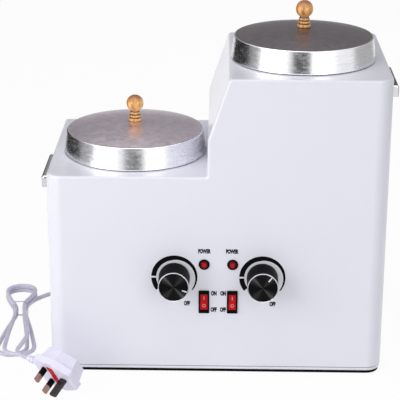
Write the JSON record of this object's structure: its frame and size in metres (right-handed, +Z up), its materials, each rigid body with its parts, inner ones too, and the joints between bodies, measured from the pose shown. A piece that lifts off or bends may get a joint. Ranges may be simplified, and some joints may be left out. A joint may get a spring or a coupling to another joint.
{
  "type": "double wax warmer",
  "caption": "Stepped white wax warmer with lidded lift-out pots in heated wells at different heights, round thermostat knobs, rocker switches, lamps, side handles and a mains lead.",
  "frame": {"origin": "centre of the warmer's footprint, knobs and handles included, on the surface it stands on", "axes": "+Z up, the control panel faces -Y, the high deck is on the +X side"},
  "size_m": [0.4728, 0.3894, 0.4145],
  "materials": {
    "black_base": "satin black",
    "black_knob": "gloss black",
    "black_plastic": "satin black",
    "brass": "bright",
    "copper_sensor": "bare copper",
    "glass_wool": "matt fibre",
    "handle_steel": "bright plated steel",
    "heater_band": "satin",
    "polished_cap": "spun face with polished rim",
    "pot_aluminium": "satin",
    "red_fuse": "red",
    "red_lens": "dark red translucent",
    "red_rocker": "gloss red",
    "rubber_feet": "matt",
    "screw_steel": "plain zinc plate",
    "spun_aluminium": "spun and polished",
    "varnished_wood": "clear varnish",
    "white_cord": "white flexible PVC",
    "white_enamel": "gloss white enamel",
    "white_gland": "white flexible PVC",
    "white_print": "white fill",
    "wire_pvc": "wire insulation"
  },
  "bodies": {
    "housing": {"base_plate": "black_base", "bottom_rim": "white_enamel", "control_nuts": "screw_steel", "cord_gland": "white_gland", "cord_hank": "white_cord", "cord_tie": "white_cord", "front_wrap": "white_enamel", "fuse_carrier": "red_fuse", "high_band_heater": "heater_band", "high_heating_well": "pot_aluminium", "high_insulation": "glass_wool", "high_sensor": "copper_sensor", "high_top": "white_enamel", "housing_screws": "screw_steel", "left_handle": "handle_steel", "left_lamp_bezel": "black_plastic", "left_lamp_lens": "red_lens", "left_switch_body": "black_plastic", "left_thermostat": "black_knob", "low_band_heater": "heater_band", "low_heating_well": "pot_aluminium", "low_insulation": "glass_wool", "low_sensor": "copper_sensor", "low_top": "white_enamel", "mains_lead": "white_cord", "plug_body": "white_cord", "plug_earth_pin": "brass", "plug_lead": "white_cord", "plug_line_pins": "brass", "plug_pin_sleeves": "black_plastic", "plug_sleeve": "white_cord", "rear_panel": "white_enamel", "right_handle": "handle_steel", "right_lamp_bezel": "black_plastic", "right_lamp_lens": "red_lens", "right_switch_body": "black_plastic", "right_thermostat": "black_knob", "riser_panel": "white_enamel", "rubber_feet": "rubber_feet", "switch_blades": "brass", "terminal_block": "black_plastic", "wiring_harness": "wire_pvc"},
    "low_pot": {"low_pot": "pot_aluminium"},
    "high_pot": {"high_pot": "pot_aluminium"},
    "low_lid": {"low_lid": "spun_aluminium", "low_lid_pull": "varnished_wood", "low_lid_screw": "screw_steel"},
    "high_lid": {"high_lid": "spun_aluminium", "high_lid_pull": "varnished_wood", "high_lid_screw": "screw_steel"},
    "left_knob": {"left_knob": "black_knob", "left_knob_cap": "polished_cap", "left_pointer": "white_print", "left_shaft": "screw_steel"},
    "right_knob": {"right_knob": "black_knob", "right_knob_cap": "polished_cap", "right_pointer": "white_print", "right_shaft": "screw_steel"},
    "left_rocker": {"left_rocker": "red_rocker"},
    "right_rocker": {"right_rocker": "red_rocker"}
  },
  "joints": [
    {"name": "low_pot_lift", "type": "slide", "parent": "housing", "child": "low_pot", "axis": [0, 0, 1], "range_m": [0, 0.12]},
    {"name": "high_pot_lift", "type": "slide", "parent": "housing", "child": "high_pot", "axis": [0, 0, 1], "range_m": [0, 0.12]},
    {"name": "low_lid_lift", "type": "slide", "parent": "low_pot", "child": "low_lid", "axis": [0, 0, 1], "range_m": [0, 0.06]},
    {"name": "high_lid_lift", "type": "slide", "parent": "high_pot", "child": "high_lid", "axis": [0, 0, 1], "range_m": [0, 0.06]},
    {"name": "left_knob_turn", "type": "hinge", "parent": "housing", "child": "left_knob", "pos_m": [-0.0475, -0.09815, 0.119], "axis": [0, -1, 0], "range_deg": [-25, 245]},
    {"name": "right_knob_turn", "type": "hinge", "parent": "housing", "child": "right_knob", "pos_m": [0.0515, -0.09815, 0.119], "axis": [0, -1, 0], "range_deg": [-97, 173]},
    {"name": "left_rocker_tilt", "type": "hinge", "parent": "housing", "child": "left_rocker", "pos_m": [-0.014, -0.09735, 0.089], "axis": [1, 0, 0], "range_deg": [0, 16]},
    {"name": "right_rocker_tilt", "type": "hinge", "parent": "housing", "child": "right_rocker", "pos_m": [0.018, -0.09735, 0.089], "axis": [1, 0, 0], "range_deg": [0, 16]}
  ]
}
